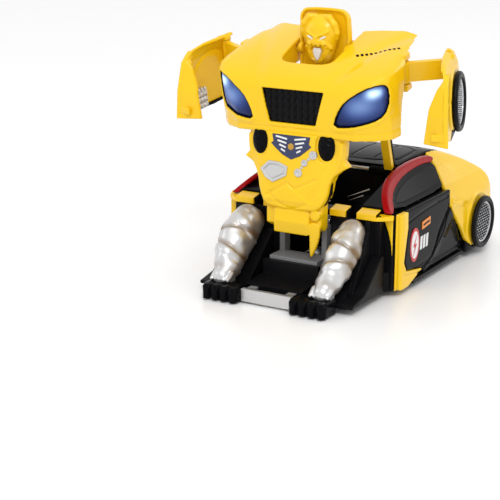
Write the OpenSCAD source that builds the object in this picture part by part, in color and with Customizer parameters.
// Transforming robot car: a toy car whose bonnet, head and front wings fold up into a robot.
// Frame: X to the right seen from the front, -Y is the front, +Z up, millimetres.
// The part is drawn as the standing robot; fold = 1 shows it closed into the car.

/* [Pose] */
// How far the toy is folded, from the standing robot (0) to the car (1)
fold = 0; // [0:0.05:1]

/* [Body] */
// Length of the chassis from toe to tail
body_len = 169; // [169:1:169]
// Height of the underside above the ground
under_z = 3; // [3:0.5:3]
// Wall thickness of the body shells
wall = 2; // [1.8:0.1:2]
// Half-width over the doors
door_x = 46.2; // [46.2:0.1:47]

/* [Wheels] */
// Radius of the dummy tyre rings on the body sides
tyre_r = 13.5; // [13:0.1:13.6]
// Radius of the mesh discs inside the tyre rings
disc_r = 10.6; // [10:0.1:10.6]
// Distance between front and rear wheel centres in the car
wheelbase = 107; // [107:1:107]
// Height of the dummy wheel centres
wheel_z = 16.5; // [16.5:0.5:17]
// Radius of the hidden rear running wheels
run_wheel_r = 8; // [8:0.5:8]

/* [Lifting linkage] */
// Torso hinge, distance ahead of the origin
hip_y = -42.1; // [-42.1:0.1:-42.1]
// Torso hinge, height above the ground
hip_z = 34.18; // [34.18:0.01:34.18]
// Angle that the torso swings through
torso_swing = 97.76; // [97.76:0.01:97.76]
// Backward tilt of the bonnet in the robot
hood_tilt = 12.5; // [12.5:0.5:12.5]
// Angle that the head flap turns through
head_swing = 108; // [104:1:108]
// Angle that each arm link swings outwards
link_swing = 58; // [50:1:58]
// Outward splay of the front wings in the robot
wing_splay = 14; // [10:1:14]
// Angle that the roof struts swing through
strut_swing = 86.5; // [80:0.5:86.5]
// Angle that the windscreen panel swings through
screen_swing = 73.7; // [73.7:0.1:73.7]

/* [Hidden] */
$fn = 48;

front_y = -body_len / 2;
rear_y = body_len / 2;
front_wheel_y = -51;
rear_wheel_y = front_wheel_y + wheelbase;
run_fit = 0.05;
// Bonnet hinge on top of the torso, as it lies in the car
neck_y = -91.5;
neck_z = 17;
// Head flap hinge in the bonnet, as it lies in the car
flap_y = -60.7;
flap_z = 36.2;
// Arm link pivots in the car: shoulder on the bonnet, elbow on the front wing
shoulder = [41, -62];
elbow = [42.6, -42.1];
// Common axis of the roof struts and the windscreen
roof_y = -3.5;
roof_z = 51.2;
screen_slope = 16.3;
screen_len = 35.5;
strut_len = 40;
pin_r = 1.5;

// ---- helpers ----

// Solid from an outline in the Y-Z plane, between two values of X
module yz(outline, x0, x1) {
    translate([x0, 0, 0]) rotate([90, 0, 90]) linear_extrude(x1 - x0) polygon(outline);
}

// Solid from an outline in the X-Z plane, between two values of Y
module xz(outline, y0, y1) {
    translate([0, y1, 0]) rotate([90, 0, 0]) linear_extrude(y1 - y0) polygon(outline);
}

// Solid from an outline in the X-Y plane, between two heights
module xy(outline, z0, z1) {
    translate([0, 0, z0]) linear_extrude(z1 - z0) polygon(outline);
}

// Box from its lowest to its highest corner
module box(low, high) {
    translate(low) cube(high - low);
}

// Round bar along X centred on a point of the Y-Z plane
module bar_x(y, z, r, x0, x1) {
    translate([x0, y, z]) rotate([0, 90, 0]) cylinder(r = r, h = x1 - x0);
}

// Side 1 is the right side; side -1 mirrors it to the left
module sided(side) {
    if (side > 0) children();
    else mirror([1, 0, 0]) children();
}

// Both sides at once
module both() {
    children();
    mirror([1, 0, 0]) children();
}

// Outline made symmetric about the second axis
function mirrored(half) = concat(half, [for (i = [len(half) - 1:-1:0]) [-half[i].x, half[i].y]]);

// Outline pulled towards a centre, so that all of it moves in by about t
function shrunk(outline, c, t) = [for (p = outline)
    let (d = norm(p - c)) c + (p - c) * max(0.05, (d - t) / d)];

// Turn about an axis parallel to X through a point of the Y-Z plane
module turn_x(y, z, angle) {
    translate([0, y, z]) rotate([angle, 0, 0]) translate([0, -y, -z]) children();
}

// ---- poses: each takes children where they are drawn and puts them at the fold ----

function hinge_point(y, z, cy, cz, a) = [cy + (y - cy) * cos(a) - (z - cz) * sin(a),
    cz + (y - cy) * sin(a) + (z - cz) * cos(a)];

// The torso is drawn standing
module torso_pose() {
    turn_x(hip_y, hip_z, torso_swing * fold) children();
}

// The bonnet is drawn as it lies in the car
module hood_pose() {
    p = hinge_point(neck_y, neck_z, hip_y, hip_z, -torso_swing * (1 - fold));
    translate([0, p.x, p.y]) rotate([hood_tilt * (1 - fold), 0, 0])
        translate([0, -neck_y, -neck_z]) children();
}

// The head flap is drawn closed in the bonnet
module flap_pose() {
    hood_pose() turn_x(flap_y, flap_z, -head_swing * (1 - fold)) children();
}

// Turn about an upright axis through a point of the plan
module turn_z(p, angle) {
    translate([p.x, p.y, 0]) rotate([0, 0, angle]) translate([-p.x, -p.y, 0]) children();
}

module link_pose() {
    hood_pose() turn_z(shoulder, -link_swing * (1 - fold)) children();
}

module wing_pose() {
    link_pose() turn_z(elbow, (link_swing + wing_splay) * (1 - fold)) children();
}

// The struts and the windscreen are drawn as they lie in the car
module strut_pose() {
    turn_x(roof_y, roof_z, -strut_swing * (1 - fold)) children();
}

module screen_pose() {
    turn_x(roof_y, roof_z, screen_swing * (1 - fold)) children();
}

// ---- rear body form: side view, plan and cross-section meet in one shell ----

rear_side = [[-6, 53.4], [0.2, 54.8], [12, 56.8], [25, 57.5], [34, 56.8], [46, 53.8], [56, 50],
    [66, 45.2], [76, 38.5], [82, 31], [rear_y, 24], [rear_y, 12], [82, 5], [79, under_z]];
rear_plan = [[46.4, -6], [46.6, 20], [48.5, 36], [49, 52], [48.9, 64], [46.5, 75],
    [40, 81.5], [30, rear_y - 0.6], [14, rear_y]];
rear_cross = [[48.2, under_z], [48.8, 10], [49, 20], [47, 31], [42, 41], [35, 48.5], [27, 54.6],
    [22, 56.2], [14, 57.4]];

module rear_form(t) {
    side = [for (p = rear_side) [p.x > 60 ? p.x - t * (p.x - 60) / 24.5 : p.x, p.y - t]];
    intersection() {
        yz(concat([[-60, under_z - 3], [-60, 53.4 - t]], side, [[60, under_z - 3]]), -60, 60);
        xy(mirrored([for (p = rear_plan) [p.x - t, p.y - (p.y > 60 ? t * (p.y - 60) / 24.5 : 0)]]),
            -1, 70);
        xz(mirrored([for (p = rear_cross) [p.x - t * min(1, p.x / 40), p.y - t]]), -10, 90);
    }
}

module rear_shell() {
    difference() {
        rear_form(0);
        rear_form(wall);
    }
}

// ---- bonnet form, as it lies in the car ----

hood_side = [[-96.4, 5], [-98, 8], [-97, 11], [-94.5, 23.5], [-92, 30], [-88, 34], [-76, 37.7],
    [-60, 40], [-45, 42]];
hood_plan = [[40.5, -45], [42, -52], [44, -62], [45.6, -72], [45.6, -78], [43.5, -84],
    [38.5, -89.5], [30, -94.5], [18, -97.2], [6, -98]];
hood_cross = [[46, 3], [46, 28], [44.5, 35], [40, 38.8], [32, 40.8], [20, 42], [8, 42.6]];
hood_seam = [[-30, 37.9], [-62, 37.9], [-70, 31], [-75, 18], [-78, 4], [-78, -5], [-30, -5]];
eye_outline = [[20.8, 13.4], [22, 19], [26, 25], [34.5, 30.4], [40.6, 32], [44.8, 31], [44.6, 24],
    [42.4, 17.4], [38, 15.4], [31, 14.2]];
grille_outline = [[15.8, 28], [11.9, 13.4]];
hatch_x = 13;

module hood_form(t) {
    side = [for (p = hood_side) [p.x + t * min(1, max(0, (-p.x - 60) / 30)), p.y - t]];
    intersection() {
        yz(concat([[-110 + 13 + t, t > 0 ? -5 : 5]], side, [[-30, 43 - t], [-30, t > 0 ? -5 : 5]]),
            -60, 60);
        xy(mirrored(concat([[40 - t, t > 0 ? -30 : -45]],
            [for (p = hood_plan) [p.x - t * min(1, p.x / 30), p.y + t * min(1, max(0, -p.y - 62) / 22)]])),
            -5, 60);
        xz(mirrored([for (p = hood_cross) [p.x - t * min(1, p.x / 30), p.y - t - (p.y < 4 ? 10 : 0)]]),
            -110, -30);
    }
}

module hood_skin(t0, t1) {
    difference() {
        hood_form(t0);
        hood_form(t1);
    }
}

// ---- chassis ----

tub_plan = [[38.6, -39.8], [39.2, -38.6], [43, -36.2], [43, 41.4], [44.4, 46], [44.6, 60], [42, 74],
    [36, 79], [20, 80.5]];

module chassis_tub() {
    color("#1b1b1d") difference() {
        union() {
            difference() {
                xy(mirrored(tub_plan), under_z, 12);
                xy(mirrored(shrunk(tub_plan, [0, 20], wall)), under_z + wall, 13);
            }
            both() {
                yz([[-36, 12], [-36, 39.2], [21.8, 39.2], [21.8, 12]], 41, 43);
                box([43, -20, under_z], [46, 38, under_z + 1.8]);
                // bearing blocks of the front running axle
                difference() {
                    box([15, -28, under_z + 1], [19, -22, 10]);
                    bar_x(-25, 6.5, 1.2 + run_fit, 10, 30);
                }
            }
        }
        box([-28, 5, 0], [28, 52.6, 10]);
        both() box([32, 47, 0], [40.5, 65, 10]);
        both() box([23, -32.5, 0], [30.5, -17.5, 10]);
        box([-5.5, 68, 0], [5.5, 72, 10]);
        for (x = [-36, 36], y = [-12, 42.5]) translate([x, y, 0]) cylinder(r = 1.5, h = 20);
    }
}

// Front deck between the feet: floor, leg beds, side cheeks, hip wall and bulkhead
module front_deck() {
    color("#202023") difference() {
        union() {
            box([-36.8, -72, under_z], [36.8, -40, under_z + 1.6]);
            yz([[-72, under_z], [-72, 7.5], [-57, 9], [-57, 15.5], [-54.6, 15.5], [-54.6, under_z]],
                -14.6, 14.6);
            both() {
                yz([[-68.5, under_z], [-42, 26.2], [-42, under_z]], 17.4, 32.6);
                yz([[-72, under_z], [-72, 4.6], [-61, 6.4], [-54, 19], [-45.7, 32.4], [-45.2, 37.2],
                    [-42, 37.2], [-42, under_z]], 32.4, 34.6);
                // plates that close the gap to the door corners
                box([36.6, -40.4, 12.4], [38.5, -36.4, 39.2]);
            }
            box([-38.5, -42.2, under_z], [38.5, -40, 39.4]);
        }
        box([-13.4, -44, 16], [13.4, -38, 41]);
        both() box([22, -44, 36.2], [27.2, -38, 41]);
    }
}

// Toe caps with four ribs on the front edge
module foot() {
    color("#111113") {
        box([13.4, -81.5, 0.6], [32.2, -74.4, 7.5]);
        for (i = [0:3]) translate([15.75 + i * 4.7, -81.5, 0.6])
            cylinder(r = 2.35, h = 6.6, $fn = 8);
        box([13.4, -74.5, 0.6], [32.2, -72, 5]);
        for (i = [0:3]) box([14.4 + i * 4.7, front_y, 1.2], [17.1 + i * 4.7, -82, 6.2]);
    }
}

// Silver leg moulding that lies on the deck, with claws above the toe cap
leg_top = [25.9, -48.4, 30];
leg_end = [25.9, -68.6, 12.6];

module leg() {
    run = leg_end - leg_top;
    color("silver") {
        translate(leg_top) sphere(r = 6.1);
        translate(leg_top) rotate([atan2(norm([run.x, run.y]), run.z), 0, 0])
            cylinder(r1 = 5.7, r2 = 5, h = norm(run));
        translate(leg_end) sphere(r = 5.4);
        for (i = [-1.5:1:1.5]) translate([leg_end.x + i * 2.5, -75.4, 9]) sphere(r = 1.2, $fn = 16);
        box([leg_end.x - 4.4, -75.6, 7.8], [leg_end.x + 4.4, -71.6, 9.8]);
    }
}

module front_bar() {
    color("silver") box([-13.2, -79.5, 1], [13.2, -77, 7]);
    color("silver") both() box([8, -77, 3.2], [12, -72.2, 6.8]);
}

// Grey gearbox in the hip well, with the two lugs that carry the torso
module lift_gearbox() {
    color("#77787c") difference() {
        union() {
            box([-12.6, -54.3, under_z + 1.8], [12.6, -42.4, 17]);
            both() yz([[-44.8, 16.5], [-44.8, 34.6], [-43.6, 36.6], [-40.6, 36.6], [-39.4, 34.6],
                [-39.4, 16.5]], 9.8, 12.6);
        }
        bar_x(hip_y, hip_z, pin_r, -20, 20);
    }
}

module hip_pin() {
    color("silver") bar_x(hip_y, hip_z, pin_r, -13.2, 13.2);
}

module lift_motor() {
    color("silver") translate([0, -37.6, 11]) rotate([-90, 0, 0]) cylinder(r = 5.6, h = 9.4);
}

// Dark ledge behind the bonnet, slotted for the struts
module cowl() {
    color("#18181a") difference() {
        yz([[-43, 39.6], [-43, 39.9], [-38.4, 40.9], [-38.4, 40.4], [-40, 39.6]], -37, 37);
        both() box([22, -46, 36], [27.2, -36, 44]);
        box([-10.4, -46, 36], [10.4, -36, 40.35]);
    }
}

module cowl_strips() {
    color("gold") both() {
        for (x = [[13.6, 21.8], [27.4, 37]]) yz([[-44.6, 37.4], [-44.6, 40.4], [-38.4, 41.7],
            [-38.4, 41.05], [-43.4, 40], [-43.4, 37.4]], x[0], x[1]);
    }
}

module door(side) {
    color("#1d1d20") sided(side) yz([[-27.8, 39.8], [-27.3, 32], [-30.9, 16.3], [-27.7, 11.3],
        [-9, 8.2], [-8, 5.2], [38.5, 5.2], [40.6, 9.4], [21.9, 31.6], [21.9, 39.8]],
        43.2, door_x);
}

module door_corner(side) {
    color("gold") sided(side) yz([[-36, under_z], [-36, 39.8], [-28, 39.8], [-27.6, 32],
        [-31.2, 16], [-28, 11], [-10, 8], [-26.4, under_z]], 43.2, door_x);
}

// Sloping side of the cabin, cut to an outline in the side view
module cabin_side(outline) {
    intersection() {
        xz([[42.4, 40], [29.4, 55], [27, 55], [40, 40]], -45, 40);
        yz(outline, 20, 50);
    }
}

arch_out = [[-40, 40], [-37.5, 43.4], [-31, 48], [-22, 51.4], [-8, 53.6], [8, 54.6], [20, 54.6],
    [31.6, 53.8]];
arch_in = [[28.2, 50], [18, 50.6], [8, 50.4], [-6, 49.6], [-18, 47.6], [-27, 44.6], [-33, 40]];

module window_frame(side) {
    color("#b3171c") sided(side) cabin_side(concat(arch_out, arch_in));
}

module side_window(side) {
    color("#0c0c0e") sided(side) cabin_side([[-32.6, 40], [-26.8, 44.3], [-17.9, 47.3],
        [-6, 49.3], [8, 50.1], [18, 50.3], [28, 49.6], [22, 41.4], [22, 40]]);
}

// Dark infill between the windscreen opening and the red frame, with the shaft bearing
module pillar(side) {
    color("#141416") sided(side) difference() {
        union() {
            intersection() {
                yz([[-38.2, 40.9], [-38.2, 42.6], [-1, 53.4], [-1, 51.6]], 27.5, 42);
                xz([[27.5, 38], [41.4, 38], [39.6, 40], [26.6, 55]], -40, 5);
            }
            yz([[-6.4, 46], [-6.4, 51.9], [-4, 52.4], [-0.8, 52.4], [-0.8, 46]], 27.5, 28.8);
        }
        bar_x(roof_y, roof_z, pin_r, 20, 40);
    }
}

module strut_shaft() {
    color("silver") bar_x(roof_y, roof_z, pin_r, -29, 29);
}

// Yellow haunch around the rear wheel
module rear_fender(side) {
    color("gold") sided(side) intersection() {
        rear_shell();
        yz([[32.4, 58], [32.4, 53.8], [22.3, 40.2], [22.3, 31.8], [41, 9.6], [41, under_z],
            [78, under_z], [90, 10], [90, 60]], 26.8, 60);
        box([26.8, -10, 0], [60, 81.4, 70]);
    }
}

module roof_panel() {
    color("#101012") difference() {
        intersection() {
            rear_shell();
            box([-26.5, 0.3, 40], [26.5, 63.8, 70]);
        }
        // lengthwise sunroof grooves and crosswise vents
        for (x = [-13, 0, 13]) box([x - 0.3, 4, 56.9], [x + 0.3, 31, 60]);
        for (i = [0:6]) both() turn_x(36 + i * 4, 56 - i * 1.5, -22)
            box([6, 35 + i * 4, 55.6 - i * 1.5], [21, 36.6 + i * 4, 60]);
    }
}

module rear_fascia() {
    color("#17171a") difference() {
        union() {
            intersection() {
                rear_shell();
                box([-26.5, 64, 8], [26.5, 90, 70]);
            }
            intersection() {
                rear_shell();
                box([-60, 81.6, 8], [60, 90, 70]);
            }
        }
        translate([0, 68.5, 30]) cylinder(r = 2.5 + run_fit, h = 30);
        both() box([13, 80, 21.8], [26.3, 90, 28.2]);
    }
}

module tail_lamps() {
    color("#a01014") both() intersection() {
        rear_shell();
        box([13.2, 80, 22], [26.1, 90, 28]);
    }
}

module wheel_ring(x, y, z) {
    translate([x, y, z]) rotate([0, 90, 0]) difference() {
        cylinder(r = tyre_r, h = 2.2);
        translate([0, 0, -1]) cylinder(r = disc_r + 0.1, h = 5);
    }
}

module rear_tyre_rings() {
    color("#0e0e10") both() wheel_ring(49.1, rear_wheel_y, wheel_z);
}

module rear_discs() {
    color("silver") both() bar_x(rear_wheel_y, wheel_z, disc_r, 49.1, 50.5);
}

module battery_cells() {
    color("#3b6f4a") for (i = [0:2]) bar_x(13.2 + 15.4 * i, 13, 7, -25, 24);
    color("silver") for (i = [0:2]) bar_x(13.2 + 15.4 * i, 13, 2.5, 24, 25.4);
}

module battery_cover() {
    color("#1b1b1d") {
        box([-27.8, 5.2, under_z], [27.8, 52.4, under_z + 1.8]);
        for (x = [-20, 20]) box([x - 3, 6, under_z + 1.8], [x + 3, 7.4, 8]);
    }
}

module circuit_board() {
    color("#256b3a") box([-22, 8, 24], [22, 46, 25.6]);
    color("#111113") box([-5, 20, 25.6], [5, 30, 28]);
    color("#256b3a") both() box([16, 20, 20.2], [19, 23, 24]);
}

module drive_motor() {
    color("silver") translate([0, 54, 29.6]) rotate([-90, 0, 0]) cylinder(r = 6, h = 18);
}

module drive_gearbox() {
    color("#c9c9c4") difference() {
        box([-10, 53.4, under_z + 2.2], [10, 66.5, 23.4]);
        bar_x(rear_wheel_y, run_wheel_r, 1.5 + run_fit, -20, 20);
    }
}

module running_wheel(x, y, r) {
    bar_x(y, r, r, x, x + 5);
}

module rear_axle() {
    color("#202022") both() running_wheel(33.5, rear_wheel_y, run_wheel_r);
    color("silver") bar_x(rear_wheel_y, run_wheel_r, 1.5, -34, 34);
}

module front_axle() {
    color("#202022") both() running_wheel(24.2, -25, 6.5);
    color("silver") bar_x(-25, 6.5, 1.2, -25, 25);
}

module speaker() {
    color("#2a2a2c") translate([0, -9, under_z + wall + 0.1]) cylinder(r = 9, h = 5);
}

module screws() {
    color("silver") for (x = [-36, 36], y = [-12, 42.5]) translate([x, y, under_z]) {
        cylinder(r = 1.4, h = 7);
        translate([0, 0, 2.1]) cylinder(r = 2.6, h = 1.6);
    }
}

module mode_button() {
    color("#0d0d0f") translate([0, 68.5, 37.8]) cylinder(r = 2.5, h = 10.2);
}

module power_switch() {
    color("#303033") {
        box([-4.4, 68.4, 1.6], [-0.4, 71.6, under_z + wall + 0.2]);
        box([-8, 67, under_z + wall + 0.2], [3.2, 73, under_z + wall + 1.6]);
    }
}

// ---- torso, drawn standing ----

chest_top = 72.4;
chest_half = [[9, 41], [15.4, 42.4], [18.8, 49], [19, 59.6], [19, chest_top]];

module torso_front() {
    color("gold") difference() {
        union() {
            xz(mirrored(chest_half), -56.6, -52);
            // set-back wings of the chest
            both() xz([[18.9, 61.5], [23.4, 64], [25, 69], [25, chest_top], [18.9, chest_top]], -54, -50);
            // flanks of the chest, swept back
            both() intersection() {
                xz([[18, 57], [21.6, 58.5], [24.4, 64], [25, 69], [25, chest_top], [18, chest_top]],
                    -57, -49);
                xy([[18, -55.4], [19.2, -55], [25, -51.1], [25, -49.6], [18, -53]], 50, 80);
            }
            // hip drum
            bar_x(hip_y, hip_z, 5.6, -9.4, 9.4);
            yz([[hip_y, hip_z], [-52.5, 42.5], [-56.2, 40], [-56.8, 35], [-55.6, 29.5],
                [-50, 30.5]], -9.4, 9.4);
            // neck plate and the knuckles of the bonnet hinge
            xz(mirrored([[12, 72], [12, 80], [9, 83.5]]), -53.8, -50.6);
            bar_x(-52.46, 85.44, 2.5, -9, 9);
        }
        bar_x(hip_y, hip_z, pin_r + run_fit, -20, 20);
        bar_x(-52.46, 85.44, 1.2 + run_fit, -20, 20);
    }
}

module torso_back() {
    color("#2b2b2e") {
        xz(mirrored([[9, 43], [14.8, 43.4], [17.8, 49], [18.3, 60], [18.3, chest_top - 0.6]]), -51.8, -49.4);
    }
}

// Emblem, dark vents, silver badge and studs on the chest
module chest_trim() {
    color("#14264f") xz(mirrored([[1, 61.6], [6.4, 65], [10, 68.4], [9.6, chest_top]]), -57.6, -56.6);
    color("#101012") both() xz([[13.4, 66], [16, 63.6], [18.4, 66], [18.6, chest_top], [14.4, chest_top]],
        -57.4, -56.6);
    color("silver") xz([[-15.4, 57.4], [-11.6, 51.4], [-4, 54.6], [-4, 59], [-8, 61.2]],
        -57.6, -56.6);
    for (i = [0:2]) color("silver") translate([3 + i * 3.8, -56.6, 56.4 + i * 4])
        rotate([90, 0, 0]) cylinder(r = 1.7, h = 1);
}

// ---- bonnet, drawn as it lies in the car ----

module hood_shell() {
    color("gold") difference() {
        union() {
            difference() {
                hood_skin(0, wall - 0.6);
                both() yz(hood_seam, 25, 60);
            }
            both() {
                // ribs that carry the head flap
                yz([[-66, 36], [-66, 38], [-56, 39.6], [-56, 34.4], [-60.7, 33.4]], 14.4, 16.6);
                // ears of the bonnet hinge
                yz([[-95.4, 14.6], [-95.2, 19.4], [-90.6, 19.4], [-89, 17], [-90.6, 14.6]], 9.4, 11.6);
                // shoulder brackets of the arm links
                box([37.2, -65, 34.6], [43, -59, 38]);
                box([37.2, -65, 20.4], [38.4, -59, 38]);
                box([37.2, -64.6, 20.4], [43, -59.4, 23.4]);
            }
        }
        box([-hatch_x - 0.8, -80, 30], [hatch_x + 0.8, -40, 60]);
        xz(mirrored(grille_outline), -110, -88);
        both() xz(eye_outline, -110, -70);
        box([-26, -110, 0], [26, -80, 7.4]);
        bar_x(flap_y, flap_z, 1.2 + run_fit, -20, 20);
        bar_x(neck_y, neck_z, 1.2, -20, 20);
        both() translate([shoulder.x, shoulder.y, 0]) cylinder(r = 1.2 + run_fit, h = 36.4);
    }
}

module grille() {
    color("#0f0f11") intersection() {
        hood_skin(0.2, 1.3);
        xz(mirrored([[15.5, 27.7], [11.6, 13.7]]), -110, -88);
    }
}

module headlamps() {
    color("#2c49c8") both() intersection() {
        hood_skin(0.1, 1.3);
        xz(shrunk(eye_outline, [36, 24], 0.25), -110, -70);
        difference() {
            box([20, -110, 0], [60, -60, 50]);
            yz([[-30, 37.9], [-61, 37.9], [-69.6, 31.6], [-70.3, 31], [-75.2, 18], [-75.2, -5],
                [-30, -5]], 25, 60);
        }
    }
}

module hood_pin() {
    color("silver") bar_x(neck_y, neck_z, 1.2, -11.6, 11.6);
}

// ---- head flap, drawn closed in the bonnet ----

module hatch_panel() {
    color("gold") difference() {
        union() {
            intersection() {
                hood_skin(0.1, 1.9);
                xy(mirrored([[hatch_x, -45.6], [hatch_x, -74], [hatch_x - 1.4, -77.4],
                    [hatch_x - 4.6, -79.2]]), 30, 50);
            }
            both() yz([[-63.2, 37], [-63.2, 35.4], [-60.7, 33.8], [-58.2, 35.4], [-58.2, 38.4]],
                10.6, 13);
        }
        bar_x(flap_y, flap_z, 1.2, -20, 20);
    }
    color("silver") both() bar_x(flap_y, flap_z, 1.2, 10.6, 16.4);
}

// Blank-faced head block on the inner side of the flap
module head() {
    color("gold") {
        translate([0, -68.5, 34.6]) scale(1) intersection() {
            sphere(r = 8.8);
            box([-9, -9, -6.6], [9, 9, -0.6]);
        }
        yz([[-66, 34.3], [-56, 36.2], [-56, 31.4], [-60, 29.4], [-66, 28.8]], -5.6, 5.6);
    }
}

// ---- arms, drawn as they lie in the car ----

module arm_link(side) {
    color("gold") sided(side) {
        translate([shoulder.x, shoulder.y, 24]) cylinder(r = 2.3, h = 10);
        translate([elbow.x, elbow.y, 24]) cylinder(r = 2, h = 10);
        turn_z(shoulder, 84.5 - 90) box([shoulder.x - 1.4, shoulder.y, 24.5],
            [shoulder.x + 1.2, shoulder.y + 19.9, 33.5]);
        translate([shoulder.x, shoulder.y, 21]) cylinder(r = 1.2, h = 15.2);
        translate([elbow.x, elbow.y, 21.6]) cylinder(r = 1.2, h = 14.4);
    }
}

wing_seam = [[-36.6, 4], [-36.6, 37.2], [-43, 37.3], [-61.4, 37.3], [-69.4, 30.6], [-74.4, 17.8],
    [-77.3, 4]];
wing_plan = [[46.2, -36.6], [46.6, -44], [46.8, -52], [46.5, -64], [45.9, -78]];

module front_fender(side) {
    color("gold") sided(side) difference() {
        union() {
            intersection() {
                yz(wing_seam, 30, 60);
                xy(concat(wing_plan, [for (i = [len(wing_plan) - 1:-1:0])
                    [wing_plan[i].x - 1.6, wing_plan[i].y]]), 0, 60);
            }
            // shoulder flange beside the bonnet
            xy([[42.4, -36.6], [42.4, -46], [44.6, -58.5], [46, -58.5], [46, -36.6]], 36.2, 37.2);
            // inner flange along the front edge
            xy([[45.4, -72], [45.2, -75.4], [38.6, -75.6], [38.4, -74.2], [43.6, -74], [44.2, -72]],
                5, 10.4);
            // nose, turned inwards along the front edge
            intersection() {
                yz([[-73.8, 5], [-71, 17.8], [-67.2, 28], [-65.8, 28], [-70.1, 17.4], [-72.2, 5]], 37.5, 45.4);
                xz([[37.5, 5], [40, 22], [43, 29], [45.4, 29], [45.4, 5]], -80, -60);
            }
            // ears of the elbow
            for (z = [21.6, 34.2]) xy([[40.6, -43.9], [40.6, -40.3], [44.6, -39], [45.4, -45]],
                z, z + 2.1);
        }
        translate([elbow.x, elbow.y, 0]) cylinder(r = 1.2 + run_fit, h = 50);
    }
}

module hand(side) {
    color("silver") sided(side) {
        box([39, -70, 7], [43.4, -62, 17]);
        for (i = [0:3]) box([38, -69.6 + i * 2, 7], [39, -68.4 + i * 2, 17]);
        box([43.4, -68, 9], [44.5, -64, 15]);
    }
}

module front_wheels(side) {
    color("#0e0e10") sided(side) wheel_ring(47, front_wheel_y, wheel_z);
    color("silver") sided(side) bar_x(front_wheel_y, wheel_z, disc_r, 47, 48.4);
}

// ---- roof struts and windscreen, drawn as they lie in the car ----

module roof_struts() {
    color("gold") difference() {
        both() turn_x(roof_y, roof_z, screen_slope) union() {
            box([22.6, roof_y - strut_len, roof_z - 2], [26.8, roof_y, roof_z + 1.6]);
            bar_x(roof_y, roof_z, 2.8, 22.6, 26.8);
        }
        bar_x(roof_y, roof_z, pin_r + run_fit, -30, 30);
    }
}

module windscreen() {
    color("#0b0b0d") difference() {
        turn_x(roof_y, roof_z, screen_slope) union() {
            box([-22.2, roof_y - screen_len, roof_z + 0.4], [22.2, roof_y, roof_z + 1.8]);
            bar_x(roof_y, roof_z, 2.4, -22.2, 22.2);
        }
        bar_x(roof_y, roof_z, pin_r + run_fit, -30, 30);
        box([-14, roof_y - 0.1, 40], [14, roof_y + 9, 60]);
        box([-14, roof_y - 9, 40], [14, roof_y + 9, roof_z + 0.2]);
    }
}

chassis_tub();
front_deck();
sided(-1) foot();  // foot_l
foot();  // foot_r
sided(-1) leg();  // leg_l
leg();  // leg_r
front_bar();
lift_gearbox();
hip_pin();
lift_motor();
cowl();
cowl_strips();
door(-1);  // door_l
door(1);  // door_r
side_window(-1);  // side_window_l
side_window(1);  // side_window_r
window_frame(-1);  // window_frame_l
window_frame(1);  // window_frame_r
door_corner(-1);  // door_corner_l
door_corner(1);  // door_corner_r
pillar(-1);  // pillar_l
pillar(1);  // pillar_r
strut_shaft();
rear_fender(-1);  // rear_fender_l
rear_fender(1);  // rear_fender_r
roof_panel();
rear_fascia();
tail_lamps();
rear_tyre_rings();
rear_discs();
battery_cells();
battery_cover();
circuit_board();
drive_motor();
drive_gearbox();
rear_axle();
front_axle();
speaker();
screws();
mode_button();
power_switch();
torso_pose() torso_front();
torso_pose() torso_back();
torso_pose() chest_trim();
hood_pose() hood_shell();
hood_pose() grille();
hood_pose() headlamps();
hood_pose() hood_pin();
flap_pose() hatch_panel();
flap_pose() head();
sided(-1) link_pose() arm_link(1);  // link_l
link_pose() arm_link(1);  // link_r
sided(-1) wing_pose() front_fender(1);  // front_fender_l
wing_pose() front_fender(1);  // front_fender_r
sided(-1) wing_pose() hand(1);  // hand_l
wing_pose() hand(1);  // hand_r
sided(-1) wing_pose() front_wheels(1);  // front_wheels_l
wing_pose() front_wheels(1);  // front_wheels_r
strut_pose() roof_struts();
screen_pose() windscreen();
